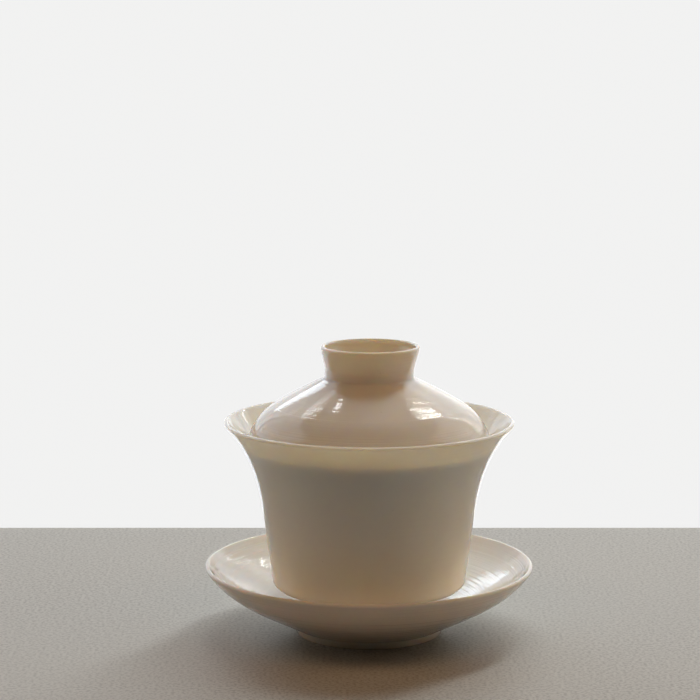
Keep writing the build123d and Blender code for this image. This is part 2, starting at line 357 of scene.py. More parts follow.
# ---- The wheel --------------------------------------------------------------
class Wheel:
    """Geometry Nodes tree that spins an outline into a closed thrown piece."""

    RING_FADE = 2.5 * MM  # how softly each mark ends along the outline
    THIN_FADE = 1.6 * MM
    POOL_FADE = 2.5 * MM
    WELD = 0.001 * MM
    DRIFT_PER_METRE = 14.0  # how fast the roundness changes with height
    TRUE_NEAR_AXIS = 120.0  # one over the radius within which the clay runs true

    def __init__(self) -> None:
        """Build the tree once."""
        self.tree = self._build()

    def _build(self) -> bpy.types.NodeTree:
        """Wire the tree.

        Returns:
            The finished tree.
        """
        sockets = [
            ("Geometry", "INPUT", "Geometry", None),
            ("Sides", "INPUT", "Int", 216),
            ("Ring pitch", "INPUT", "Float", 1.7 * MM),
            ("Ring depth", "INPUT", "Float", 0.010 * MM),
            ("Unevenness", "INPUT", "Float", 0.08 * MM),
            ("Skin", "INPUT", "Float", 0.02 * MM),
            ("Lean right", "INPUT", "Float", 0.0),
            ("Lean from", "INPUT", "Float", 1.0),
            ("Seed", "INPUT", "Int", 1),
            ("Glaze", "INPUT", "Material", None),
            ("Bare clay", "INPUT", "Material", None),
            ("Geometry", "OUTPUT", "Geometry", None),
        ]
        tree = new_group("Wheel-thrown piece", "GeometryNodeTree", sockets)
        w = Wiring(tree)
        given = w.add("NodeGroupInput").outputs
        outline = given["Geometry"]
        size = w.add("GeometryNodeAttributeDomainSize", {"Geometry": outline})
        count = size.outputs["Point Count"]
        columns = w.sum("ADD", given["Sides"], 1.0)
        grid = w.add(
            "GeometryNodeMeshGrid",
            {"Size X": 1.0, "Size Y": 1.0, "Vertices X": columns, "Vertices Y": count},
        )
        index = w.add("GeometryNodeInputIndex").outputs[0]
        row = w.sum("MODULO", index, count)
        side = w.sum("FLOOR", w.sum("DIVIDE", index, count))
        angle = w.sum("MULTIPLY", side, w.sum("DIVIDE", 2 * pi, given["Sides"]))

        def along_outline(name: str, kind: str) -> Socket:
            """Read an attribute of the outline at this vertex's row.

            Args:
                name: Name of the attribute.
                kind: Its data type.

            Returns:
                The attribute's socket.
            """
            stored = w.add(
                "GeometryNodeInputNamedAttribute", {"Name": name}, data_type=kind
            ).outputs[0]
            return w.add(
                "GeometryNodeSampleIndex",
                {"Geometry": outline, "Value": stored, "Index": row},
                data_type=kind,
            ).outputs[0]

        place = w.add("ShaderNodeSeparateXYZ", {0: along_outline("place", "FLOAT_VECTOR")})
        out = w.add("ShaderNodeSeparateXYZ", {0: along_outline("outward", "FLOAT_VECTOR")})
        radius, height = place.outputs[0], place.outputs[2]
        east, north = w.sum("COSINE", angle), w.sum("SINE", angle)

        # The clay is a little out of round, differently at each height.
        rise = w.sum("MULTIPLY", height, self.DRIFT_PER_METRE)
        round_about = w.add("ShaderNodeCombineXYZ", {0: east, 1: north, 2: rise})
        seed = w.sum("MULTIPLY", given["Seed"], 3.7)
        drift = w.add(
            "ShaderNodeTexNoise",
            {"Vector": round_about.outputs[0], "W": seed, "Scale": 0.9, "Detail": 1.0},
            noise_dimensions="4D",
        ).outputs[0]
        near_axis = w.sum("MINIMUM", w.sum("MULTIPLY", radius, self.TRUE_NEAR_AXIS), 1.0)
        inset = w.sum("MULTIPLY", w.sum("MULTIPLY", drift, given["Unevenness"]), near_axis)

        # Throwing rings climb in one spiral, and fade in and out on their way.
        turns = w.sum("DIVIDE", along_outline("along", "FLOAT"), given["Ring pitch"])
        climb = w.sum("ADD", turns, w.sum("DIVIDE", angle, 2 * pi))
        patch = w.add(
            "ShaderNodeTexNoise",
            {"Vector": round_about.outputs[0], "W": w.sum("ADD", seed, turns), "Scale": 1.3},
            noise_dimensions="4D",
        ).outputs[0]
        wave = w.sum("SINE", w.sum("MULTIPLY", climb, 2 * pi))
        strength = w.sum("MULTIPLY", along_outline("rings", "FLOAT"), given["Ring depth"])
        strength = w.sum("MULTIPLY", strength, w.remap(patch, 0.35, 0.7, 0.3, 1.5))
        swell = w.sum("SUBTRACT", w.sum("MULTIPLY", wave, strength), given["Skin"])
        swell = w.sum("MULTIPLY", swell, near_axis)

        moved = w.sum("ADD", radius, w.sum("MULTIPLY", out.outputs[0], swell))
        moved = w.sum("SUBTRACT", moved, inset)
        lifted = w.sum("ADD", height, w.sum("MULTIPLY", out.outputs[2], swell))
        over = w.sum("MAXIMUM", w.sum("SUBTRACT", height, given["Lean from"]), 0.0)
        lean = w.sum("MULTIPLY", over, given["Lean right"])
        final = w.add(
            "ShaderNodeCombineXYZ",
            {
                0: w.sum("ADD", w.sum("MULTIPLY", moved, east), lean),
                1: w.sum("MULTIPLY", moved, north),
                2: lifted,
            },
        ).outputs[0]
        body = w.add(
            "GeometryNodeSetPosition", {"Geometry": grid.outputs[0], "Position": final}
        ).outputs[0]
        for name in ("thin", "pool", "bare"):
            body = w.add(
                "GeometryNodeStoreNamedAttribute",
                {"Geometry": body, "Name": name, "Value": along_outline(name, "FLOAT")},
                data_type="FLOAT",
                domain="POINT",
            ).outputs[0]
        body = w.add(
            "GeometryNodeMergeByDistance", {"Geometry": body, "Distance": self.WELD}
        ).outputs[0]
        body = w.add("GeometryNodeRealizeInstances", {"Geometry": body}).outputs[0]
        body = w.add(
            "GeometryNodeSetMaterial", {"Geometry": body, "Material": given["Glaze"]}
        ).outputs[0]
        bare = w.add("GeometryNodeInputNamedAttribute", {"Name": "bare"}, data_type="FLOAT")
        body = w.add(
            "GeometryNodeSetMaterial",
            {
                "Geometry": body,
                "Selection": w.sum("GREATER_THAN", bare.outputs[0], 0.5),
                "Material": given["Bare clay"],
            },
        ).outputs[0]
        w.add("NodeGroupOutput", {"Geometry": body})
        return tree

    def throw(self, name: str, outline: Outline, sizes: dict) -> bpy.types.Object:
        """Spin an outline into a plain mesh object.

        Args:
            name: Name of the new piece.
            outline: Its half section.
            sizes: Value for each named input of the tree.

        Returns:
            The piece, closed and with its faces outwards.
        """
        profile = bpy.data.meshes.new(f"{name}.outline")
        spots = [(radius, 0.0, height) for radius, height in outline.points]
        profile.from_pydata(spots, [(i, i + 1) for i in range(len(spots) - 1)], [])
        outward = [(x, 0.0, z) for x, z in outline.outward()]
        for label, triples in (("place", spots), ("outward", outward)):
            stored = profile.attributes.new(label, "FLOAT_VECTOR", "POINT")
            stored.data.foreach_set("vector", [c for triple in triples for c in triple])
        values = {
            "along": outline.lengths(),
            "rings": outline.smoothed("rings", self.RING_FADE),
            "thin": outline.smoothed("thin", self.THIN_FADE),
            "pool": outline.smoothed("pool", self.POOL_FADE),
            "bare": [mark.bare for mark in outline.marks],
        }
        for label, numbers in values.items():
            stored = profile.attributes.new(label, "FLOAT", "POINT")
            stored.data.foreach_set("value", numbers)
        blank = bpy.data.objects.new(f"{name}.blank", profile)
        bpy.context.scene.collection.objects.link(blank)
        modifier = blank.modifiers.new("wheel", "NODES")
        modifier.node_group = self.tree
        for item in self.tree.interface.items_tree:
            if item.in_out == "INPUT" and item.name in sizes:
                modifier[item.identifier] = sizes[item.name]
        bpy.context.view_layer.update()
        depsgraph = bpy.context.evaluated_depsgraph_get()
        mesh = bpy.data.meshes.new_from_object(blank.evaluated_get(depsgraph))
        mesh.name = name
        blank.modifiers.remove(modifier)
        bpy.data.objects.remove(blank)
        bpy.data.meshes.remove(profile)
        mesh.shade_smooth()
        piece = bpy.data.objects.new(name, mesh)
        bpy.context.scene.collection.objects.link(piece)
        return piece


# ---- Finishes ---------------------------------------------------------------
def opaque(colour: Colour) -> tuple[float, float, float, float]:
    """Colour as a colour socket takes it."""
    return (*colour, 1.0)


def new_material(name: str) -> tuple[bpy.types.Material, Wiring]:
    """Make a material with an empty tree.

    Args:
        name: Name of the material.

    Returns:
        The material, and the wiring of its tree.
    """
    material = bpy.data.materials.new(name)
    material.use_nodes = True
    material.node_tree.nodes.clear()
    return material, Wiring(material.node_tree)


class GlazeTone:
    """Shader group: how the colour of a glaze drifts, thins and gathers."""

    SPECK_CELLS = 260.0  # cells in a metre, of which a few hold an iron speck
    SPECK_EDGE = (0.03, 0.07)  # in cells
    CLEAN_SHARE = 0.93
    IRON: Colour = (0.20, 0.14, 0.09)

    def __init__(self) -> None:
        """Build the group once."""
        sockets = [
            ("Body", "INPUT", "Color", (0.8, 0.8, 0.8, 1.0)),
            ("Drifted", "INPUT", "Color", (0.8, 0.8, 0.8, 1.0)),
            ("Over edges", "INPUT", "Color", (0.8, 0.8, 0.8, 1.0)),
            ("In corners", "INPUT", "Color", (0.8, 0.8, 0.8, 1.0)),
            ("Drift scale", "INPUT", "Float", 25.0),
            ("Specks", "INPUT", "Float", 0.3),
            ("Colour", "OUTPUT", "Color", None),
        ]
        self.tree = new_group("Glaze tone", "ShaderNodeTree", sockets)
        w = Wiring(self.tree)
        given = w.add("NodeGroupInput").outputs
        place = w.add("ShaderNodeTexCoord").outputs["Object"]
        cloud = w.add(
            "ShaderNodeTexNoise",
            {"Vector": place, "Scale": given["Drift scale"], "Detail": 3.0},
        ).outputs[0]
        colour = w.mix(w.remap(cloud, 0.35, 0.68, 0.0, 1.0), given["Body"], given["Drifted"])
        colour = w.mix(w.attribute("thin"), colour, given["Over edges"])
        colour = w.mix(w.attribute("pool"), colour, given["In corners"])
        cells = w.add("ShaderNodeTexVoronoi", {"Vector": place, "Scale": self.SPECK_CELLS})
        near = w.remap(cells.outputs["Distance"], *self.SPECK_EDGE, 1.0, 0.0)
        pick = w.add("ShaderNodeSeparateColor", {0: cells.outputs["Color"]}).outputs[0]
        specks = w.sum("MULTIPLY", near, w.sum("GREATER_THAN", pick, self.CLEAN_SHARE))
        specks = w.sum("MULTIPLY", specks, given["Specks"])
        colour = w.mix(specks, colour, opaque(self.IRON))
        w.add("NodeGroupOutput", {"Colour": colour})


class GlazeSkin:
    """Shader group: the gloss and the very slight waves of a fired glaze."""

    HAZE_SCALE = 60.0
    PEEL_SCALE = 900.0
    PEEL_SHARE = 0.06  # of the slow waves' height

    def __init__(self) -> None:
        """Build the group once."""
        sockets = [
            ("Gloss", "INPUT", "Float", 0.1),
            ("Dulled", "INPUT", "Float", 0.2),
            ("Wave height", "INPUT", "Float", 1.0),
            ("Wave scale", "INPUT", "Float", 90.0),
            ("Roughness", "OUTPUT", "Float", None),
            ("Height", "OUTPUT", "Float", None),
        ]
        self.tree = new_group("Glaze skin", "ShaderNodeTree", sockets)
        w = Wiring(self.tree)
        given = w.add("NodeGroupInput").outputs
        place = w.add("ShaderNodeTexCoord").outputs["Object"]
        haze = w.add(
            "ShaderNodeTexNoise", {"Vector": place, "Scale": self.HAZE_SCALE, "Detail": 5.0}
        )
        patches = w.remap(haze.outputs[0], 0.45, 0.75, 0.0, 1.0)
        spread = w.sum("SUBTRACT", given["Dulled"], given["Gloss"])
        roughness = w.sum("ADD", given["Gloss"], w.sum("MULTIPLY", spread, patches))
        slow = w.add(
            "ShaderNodeTexNoise",
            {"Vector": place, "Scale": given["Wave scale"], "Detail": 1.0},
        ).outputs[0]
        fine = w.add(
            "ShaderNodeTexNoise", {"Vector": place, "Scale": self.PEEL_SCALE, "Detail": 2.0}
        )
        peel = w.sum("MULTIPLY", fine.outputs[0], self.PEEL_SHARE)
        height = w.sum("MULTIPLY", w.sum("ADD", slow, peel), given["Wave height"])
        w.add("NodeGroupOutput", {"Roughness": roughness, "Height": height})


class ThrowingLines:
    """Shader group: fine uneven rings that a turned surface keeps under its glaze."""

    def __init__(self) -> None:
        """Build the group once."""
        sockets = [
            ("Lines per metre", "INPUT", "Float", 800.0),
            ("Patchiness", "INPUT", "Float", 30.0),
            ("Height", "OUTPUT", "Float", None),
        ]
        self.tree = new_group("Throwing lines", "ShaderNodeTree", sockets)
        w = Wiring(self.tree)
        given = w.add("NodeGroupInput").outputs
        place = w.add("ShaderNodeTexCoord").outputs["Object"]
        parts = w.add("ShaderNodeSeparateXYZ", {0: place}).outputs
        flat = w.add("ShaderNodeCombineXYZ", {0: parts[0], 1: parts[1]}).outputs[0]
        radius = w.add("ShaderNodeVectorMath", {0: flat}, operation="LENGTH").outputs["Value"]
        across = w.sum("MULTIPLY", radius, given["Lines per metre"])
        up = w.sum("MULTIPLY", parts[2], given["Lines per metre"])
        spot = w.add("ShaderNodeCombineXYZ", {0: across, 2: up}).outputs[0]
        rings = w.add("ShaderNodeTexNoise", {"Vector": spot, "Scale": 1.0, "Detail": 2.0})
        fade = w.add(
            "ShaderNodeTexNoise",
            {"Vector": place, "Scale": given["Patchiness"], "Detail": 1.0},
        ).outputs[0]
        strength = w.remap(fade, 0.35, 0.65, 0.35, 1.0)
        w.add("NodeGroupOutput", {"Height": w.sum("MULTIPLY", rings.outputs[0], strength)})


@dataclass(frozen=True)
class Porcelain:
    """Ivory glaze over thin porcelain that lets light through."""

    name: str
    body: Colour = (0.84, 0.795, 0.72)
    drifted: Colour = (0.82, 0.77, 0.685)
    over_edges: Colour = (0.83, 0.79, 0.72)
    in_corners: Colour = (0.80, 0.77, 0.70)
    gloss: float = 0.035
    dulled: float = 0.08
    specks: float = 0.25
    wave: float = 1.0
    lines: float = 0.4
    relief: float = 0.12 * MM  # height of the waves and lines
    ior: float = 1.52
    depth: float = 2.0 * MM  # how far light goes in the clay
    through: Colour = (1.0, 0.78, 0.52)  # red light goes farthest

    def make(
        self, tone: GlazeTone, skin: GlazeSkin, throwing: ThrowingLines
    ) -> bpy.types.Material:
        """Build the material.

        Args:
            tone: The shared group for colour.
            skin: The shared group for gloss and waves.
            throwing: The shared group for the turned rings.

        Returns:
            The material.
        """
        material, w = new_material(self.name)
        tints = {
            "Body": opaque(self.body),
            "Drifted": opaque(self.drifted),
            "Over edges": opaque(self.over_edges),
            "In corners": opaque(self.in_corners),
            "Specks": self.specks,
        }
        colours = w.add("ShaderNodeGroup", node_tree=tone.tree)
        surface = w.add("ShaderNodeGroup", node_tree=skin.tree)
        polish = {"Gloss": self.gloss, "Dulled": self.dulled, "Wave height": self.wave}
        for group, values in ((colours, tints), (surface, polish)):
            for label, value in values.items():
                group.inputs[label].default_value = value
        turned = w.add("ShaderNodeGroup", node_tree=throwing.tree).outputs["Height"]
        relief = w.sum("MULTIPLY_ADD", turned, self.lines, surface.outputs["Height"])
        bump = w.add(
            "ShaderNodeBump", {"Strength": 1.0, "Distance": self.relief, "Height": relief}
        )
        glaze = w.add(
            "ShaderNodeBsdfPrincipled",
            {
                "Base Color": colours.outputs["Colour"],
                "Roughness": surface.outputs["Roughness"],
                "Normal": bump.outputs[0],
                "IOR": self.ior,
                "Subsurface Weight": 1.0,
                "Subsurface Radius": self.through,
                "Subsurface Scale": self.depth,
            },
            subsurface_method="RANDOM_WALK",
        )
        w.add("ShaderNodeOutputMaterial", {"Surface": glaze.outputs[0]})
        return material


@dataclass(frozen=True)
class Biscuit:
    """Bare fired clay of a foot ring, ground smooth and a little soiled."""

    name: str = "bare_clay"
    clay: Colour = (0.66, 0.60, 0.50)
    soiled: Colour = (0.42, 0.36, 0.28)
    grain: float = 1800.0
    stains: float = 140.0
    relief: float = 0.06 * MM

    def make(self) -> bpy.types.Material:
        """Build the material.

        Returns:
            The material.
        """
        material, w = new_material(self.name)
        place = w.add("ShaderNodeTexCoord").outputs["Object"]
        grain = w.add("ShaderNodeTexNoise", {"Vector": place, "Scale": self.grain, "Detail": 4.0})
        stain = w.add("ShaderNodeTexNoise", {"Vector": place, "Scale": self.stains, "Detail": 3.0})
        share = w.remap(stain.outputs[0], 0.45, 0.72, 0.0, 0.8)
        colour = w.mix(share, opaque(self.clay), opaque(self.soiled))
        bump = w.add(
            "ShaderNodeBump",
            {"Strength": 0.6, "Distance": self.relief, "Height": grain.outputs[0]},
        )
        rough = w.remap(grain.outputs[0], 0.3, 0.7, 0.62, 0.85)
        clay = w.add(
            "ShaderNodeBsdfPrincipled",
            {"Base Color": colour, "Roughness": rough, "Normal": bump.outputs[0]},
        )
        w.add("ShaderNodeOutputMaterial", {"Surface": clay.outputs[0]})
        return material


@dataclass(frozen=True)
class FootRing:
    """Ground face of a foot ring, which is left unglazed."""

    inside: float
    outside: float
    margin: float = 0.1 * MM
    height: float = 0.55 * MM

    def holds(self, point: Point) -> bool:
        """Tell whether a point of the outline is on the ground face."""
        across = self.inside - self.margin <= point[0] <= self.outside + self.margin
        return across and point[1] < self.height


class Face(Enum):
    """The two faces of a wall."""

    OUTER = 1
    INNER = -1


# ---- The pieces -------------------------------------------------------------
@dataclass
class Saucer:
    """Shallow dish on a foot ring, with a sunk well for the bowl's foot."""

    rim_radius: float = 55.7 * MM
    rim_height: float = 23.8 * MM
    wall: float = 2.5 * MM
    lip: float = 1.5 * MM
    thinning: float = 16.0 * MM
    root_radius: float = 26.0 * MM
    root_height: float = 4.1 * MM
    slope: float = 0.51
    curl_power: float = 6.5
    foot_radius: float = 24.85 * MM
    foot_draft: float = 0.9 * MM
    foot_width: float = 2.7 * MM
    floor: float = 2.4 * MM
    well_radius: float = 22.4 * MM
    well_bevel: float = 0.5 * MM
    well_step: float = 0.7 * MM
    well_pool: float = 2.0 * MM  # width of the glaze gathered round the well
    root_round: float = 1.0 * MM
    foot_round: float = 0.5 * MM

    def middle(self, radius: float) -> tuple[float, float]:
        """Find the middle of the dish's wall.

        Args:
            radius: Distance from the axis.

        Returns:
            Its height and its steepness there.
        """
        reach = self.rim_radius - self.lip / 2 - self.root_radius
        curl = self.rim_height - self.lip / 2 - self.root_height - self.slope * reach
        share = (radius - self.root_radius) / reach
        height = self.root_height + self.slope * reach * share + curl * share**self.curl_power
        steep = self.slope + curl * self.curl_power / reach * share ** (self.curl_power - 1)
        return height, steep

    def face(self, face: Face, parts: int = 90) -> list[Point]:
        """Trace one face of the dish, from the foot to the rim.

        Args:
            face: OUTER for the face under the dish, INNER for the one inside it.
            parts: Number of spans.

        Returns:
            The face's points.
        """
        last = self.rim_radius - self.lip / 2
        points = []
        for number in range(parts + 1):
            radius = self.root_radius + (last - self.root_radius) * number / parts
            height, steep = self.middle(radius)
            thickness = self.lip + (self.wall - self.lip) * ease((last - radius) / self.thinning)
            points.append(shifted((radius, height), 1 / steep, face.value * thickness / 2))
        return points

    def outline(self) -> Outline:
        """Half section of the saucer.

        Returns:
            The outline, from the axis below to the axis above.
        """
        under, upper = self.face(Face.OUTER), self.face(Face.INNER)
        well = upper[0][1] - self.well_step
        steep = self.middle(self.root_radius)[1]
        foot_root = self.foot_radius + self.foot_draft
        foot_top = under[0][1] - steep * (under[0][0] - foot_root)
        inside = self.foot_radius - self.foot_width
        recess = well - self.floor
        foot = rounded(
            [
                (0.0, recess),
                (inside - self.foot_draft / 2, recess),
                (inside, 0.0),
                (self.foot_radius, 0.0),
                (foot_root, foot_top),
                under[0],
            ],
            [self.root_round, self.foot_round, self.foot_round, self.root_round],
        )
        rim_steep = self.middle(self.rim_radius - self.lip / 2)[1]
        length = hypot(1.0, rim_steep)
        line = Outline()
        ring = FootRing(inside, self.foot_radius)
        for point in foot:
            line.run([point], Marks(bare=1.0) if ring.holds(point) else Marks(pool=0.4))
        line.run(under[1:-1], Marks(rings=0.35))
        rim = half_round(under[-1], upper[-1], (1 / length, rim_steep / length))
        line.run(rim, Marks(thin=1.0))
        line.run(list(reversed(upper))[1:], Marks(rings=1.0))
        line.run(
            [
                (self.well_radius + self.well_bevel, upper[0][1]),
                (self.well_radius, well),
            ],
            Marks(pool=1.0),
        )
        line.run([(self.well_radius - self.well_pool, well)], Marks(pool=0.8))
        line.run([(0.0, well)], Marks(rings=0.5))
        return line


@dataclass
class Bowl:
    """Flared bowl on a foot ring."""

    rim_radius: float = 49.0 * MM
    height: float = 68.6 * MM
    wall: float = 2.4 * MM
    lip: float = 1.5 * MM
    thinning: float = 22.0 * MM
    wall_foot_radius: float = 31.8 * MM
    wall_foot_height: float = 14.3 * MM
    taper: float = 0.13
    flare_depth: float = 31.4 * MM
    flare_power: float = 2.57
    belly_height: float = 11.6 * MM
    belly_corner: float = 3.0 * MM
    knee_inset: float = 5.4 * MM
    knee_drop: float = 0.7 * MM
    knee_round: float = 5.0 * MM
    foot_radius: float = 21.8 * MM
    foot_draft: float = 0.8 * MM
    foot_width: float = 2.6 * MM
    foot_height: float = 7.0 * MM
    floor_height: float = 8.3 * MM
    recess: float = 5.4 * MM
    inner_corner: float = 15.5 * MM
    root_round: float = 1.0 * MM
    foot_round: float = 0.5 * MM

    def middle(self, height: float) -> tuple[float, float]:
        """Find the middle of the wall.

        Args:
            height: Height above the foot.

        Returns:
            Its radius and its outward lean there.
        """
        lip_height = self.height - self.lip / 2
        straight = self.taper * (lip_height - self.wall_foot_height)
        flare = self.rim_radius - self.lip / 2 - self.wall_foot_radius - straight
        share = max(0.0, 1.0 - (lip_height - height) / self.flare_depth)
        radius = self.wall_foot_radius + self.taper * (height - self.wall_foot_height)
        radius += flare * share**self.flare_power
        steep = flare * self.flare_power / self.flare_depth * share ** (self.flare_power - 1)
        return radius, self.taper + steep

    def thickness(self, height: float) -> float:
        """Thickness of the wall at a height above the foot."""
        below_lip = self.height - self.lip / 2 - height
        return self.lip + (self.wall - self.lip) * ease(below_lip / self.thinning)

    def face(self, face: Face, parts: int = 110) -> list[Point]:
        """Trace one face of the wall, upwards.

        Args:
            face: The outer or the inner face.
            parts: Number of spans.

        Returns:
            The face's points.
        """
        last = self.height - self.lip / 2
        points = []
        for number in range(parts + 1):
            height = self.wall_foot_height + (last - self.wall_foot_height) * number / parts
            radius, lean = self.middle(height)
            points.append(shifted((radius, height), lean, face.value * self.thickness(height) / 2))
        return points

    def outline(self, lift: float) -> Outline:
        """Half section of the bowl.

        Args:
            lift: Height of its foot in the frame.

        Returns:
            The outline, from the axis below to the axis above.
        """
        outer, inner = self.face(Face.OUTER), self.face(Face.INNER)
        belly = outer[0][0] - self.taper * (outer[0][1] - self.belly_height)
        inside = self.foot_radius - self.foot_width
        foot = rounded(
            [
                (0.0, self.recess),
                (inside - self.foot_draft, self.recess),
                (inside, 0.0),
                (self.foot_radius, 0.0),
                (self.foot_radius + self.foot_draft, self.foot_height),
                (belly - self.knee_inset, self.belly_height - self.knee_drop),
                (belly, self.belly_height),
                outer[0],
            ],
            [
                self.root_round,
                self.foot_round,
                self.foot_round,
                self.root_round,
                self.knee_round,
                self.belly_corner,
            ],
        )
        floor_radius = inner[0][0] - self.taper * (inner[0][1] - self.floor_height)
        kept = [point for point in inner if point[1] > self.floor_height + self.inner_corner]
        bottom = rounded(
            [kept[0], (floor_radius, self.floor_height), (0.0, self.floor_height)],
            [self.inner_corner],
        )
        lean = self.middle(self.height - self.lip / 2)[1]
        length = hypot(1.0, lean)
        line = Outline()
        ring = FootRing(inside, self.foot_radius)
        for point in foot:
            line.run([point], Marks(bare=1.0) if ring.holds(point) else Marks(pool=0.3))
        line.run(outer[1:-1], Marks(rings=0.22))
        rim = half_round(outer[-1], inner[-1], (lean / length, 1 / length))
        line.run(rim, Marks(thin=1.0))
        line.run(list(reversed(kept))[1:], Marks(rings=0.8))
        line.run(bottom[1:], Marks(rings=0.6, pool=0.3))
        line.points = [(radius, height + lift) for radius, height in line.points]
        return line


@dataclass
class Lid:
    """Low dome with a hollow flared collar as its knob."""

    edge_lean: float = 13.5
    seat_radius: float = 40.7 * MM
    seat_height: float = 64.5 * MM
    wall: float = 2.2 * MM
    edge: float = 1.6 * MM
    shoulder: float = 20.5 * MM
    slope: float = 28.2
    convex: float = 3.0  # how far the flank's ends turn from that slope
    crown_round: float = 22.0 * MM
    neck_radius: float = 15.12 * MM
    neck_straight: float = 3.2 * MM
    knob_radius: float = 16.66 * MM
    knob_height: float = 10.9 * MM
    knob_lip: float = 1.4 * MM
    mouth_straight: float = 1.7 * MM
    collar_wall: float = 2.0 * MM
    knob_floor: float = 2.3 * MM
    root_round: float = 1.0 * MM
    root_run: float = 2.0 * MM  # straight end of the flank before the collar
    pool_height: float = 1.5 * MM  # glaze gathered round the collar's root
    knee_round: float = 5.0 * MM
    spans: int = 40

    def settle(self, bowl: Bowl, lift: float, seat_depth: float, gap: float) -> None:
        """Find where the middle of the lid's edge lies on the flare.

        Args:
            bowl: The bowl that it closes.
            lift: Height of the bowl's foot in the frame.
            seat_depth: Seat below the bowl's rim.
            gap: Room between lid and flare.
        """
        seat = bowl.height - seat_depth
        radius, lean = bowl.middle(seat)
        clear = bowl.thickness(seat) / 2 + gap + self.edge / 2
        self.seat_radius, self.seat_height = shifted((radius, seat + lift), lean, -clear)

    def outline(self) -> Outline:
        """Half section of the lid.

        Returns:
            The outline, from the axis below to the axis above.
        """
        middle = (self.seat_radius, self.seat_height)

        def along(angle: float, distance: float, start: Point = middle) -> Point:
            """Point at a distance in a direction."""
            turn = radians(angle)
            return (start[0] + distance * cos(turn), start[1] + distance * sin(turn))

        centre = along(self.edge_lean, self.edge / 2 - self.shoulder)
        flank_angle = 90 - self.slope
        spread = flank_angle - self.convex - self.edge_lean
        shoulder = [
            along(self.edge_lean + spread * step / self.spans, self.shoulder, centre)
            for step in range(self.spans + 1)
        ]
        rise = tan(radians(self.slope))
        flank_from = along(flank_angle, self.shoulder, centre)
        neck = flank_from[1] + rise * (flank_from[0] - self.neck_radius)
        near_neck = (self.neck_radius + self.root_run, neck - self.root_run * rise)
        ends = [radians(self.slope + turn) for turn in (self.convex, -self.convex)]
        leaving, arriving = [(-cos(angle), sin(angle)) for angle in ends]
        flank = hermite(shoulder[-1], near_neck, leaving, arriving)
        knob_top = neck + self.knob_height
        mouth = knob_top - self.knob_lip / 2
        collar = rounded(
            [
                near_neck,
                (self.neck_radius, neck),
                (self.neck_radius, neck + self.neck_straight),
                (self.knob_radius, knob_top - self.mouth_straight),
                (self.knob_radius, mouth),
            ],
            [self.root_round, self.knee_round, self.knee_round],
        )
        mouth_inside = self.knob_radius - self.knob_lip
        cup_floor = neck + self.root_round
        collar_inside = self.neck_radius - self.collar_wall
        cup = rounded(
            [
                (mouth_inside, mouth),
                (mouth_inside, knob_top - self.mouth_straight),
                (collar_inside, neck + self.neck_straight),
                (collar_inside, cup_floor),
                (0.0, cup_floor),
            ],
            [self.knee_round, self.knee_round, self.root_round],
        )
        inner_flank = along(flank_angle, self.shoulder - self.wall, centre)
        inner_edge = along(self.edge_lean, -self.edge / 2)
        crown = cup_floor - self.knob_floor
        crown_radius = inner_flank[0] - (crown - inner_flank[1]) / rise
        inside = rounded([(0.0, crown), (crown_radius, crown), inner_flank], [self.crown_round])
        lean = radians(self.edge_lean)
        down = (sin(lean), -cos(lean))
        line = Outline()
        line.run(inside, Marks(rings=0.6))
        line.run(hermite(inner_flank, inner_edge, (1.0, -rise), down)[1:], Marks(rings=0.4))
        line.run(half_round(inner_edge, shoulder[0], down), Marks(thin=1.0))
        line.run(shoulder[1:] + flank[1:], Marks(rings=0.25))
        for point in collar[1:]:
            root = point[1] < neck + self.pool_height
            line.run([point], Marks(pool=0.8) if root else Marks(rings=0.15))
        line.run(half_round((self.knob_radius, mouth), cup[0], (0.0, 1.0)), Marks(thin=1.0))
        line.run(cup[1:-1], Marks(rings=0.3))
        line.run([cup[-1]], Marks(pool=0.5))
        return line


@dataclass
class Gaiwan:
    """The three pieces, thrown, glazed and set on their bodies."""

    seat_depth: float = 8.6 * MM
    seat_gap: float = 0.15 * MM
    sides: int = 216
    lean_from: float = 87.6 * MM  # the knob was luted on a little askew
    lean_right: float = 0.035

    def make(self) -> None:
        """Throw, dress and place the three pieces."""
        wheel, tone, skin, throwing = Wheel(), GlazeTone(), GlazeSkin(), ThrowingLines()
        biscuit = Biscuit().make()
        pieces = bpy.data.collections.new(PIECES)
        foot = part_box("bowl")[0].z
        saucer, bowl, lid = Saucer(), Bowl(), Lid()
        lid.settle(bowl, foot, self.seat_depth, self.seat_gap)
        knob_lean = {"Lean from": self.lean_from, "Lean right": self.lean_right}
        ringed = Porcelain("saucer_glaze", lines=1.8, depth=1.2 * MM)
        glowing = Porcelain("bowl_glaze", depth=5.2 * MM)
        turned = Porcelain("lid_glaze", lines=0.9)
        plans = [
            ("saucer", saucer.outline(), ringed, 3, {}),
            ("bowl", bowl.outline(foot), glowing, 5, {}),
            ("lid", lid.outline(), turned, 8, knob_lean),
        ]
        for node, outline, finish, seed, more in plans:
            sizes = {
                "Sides": self.sides,
                "Seed": seed,
                "Glaze": finish.make(tone, skin, throwing),
                "Bare clay": biscuit,
                **more,
            }
            piece = wheel.throw(f"{node}_thrown", outline, sizes)
            pieces.objects.link(piece)
            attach(piece, node)
            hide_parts(node)
            triangles = sum(len(face.vertices) - 2 for face in piece.data.polygons)
            LOG.info("%s: %d outline points, %d triangles", node, len(outline.points), triangles)


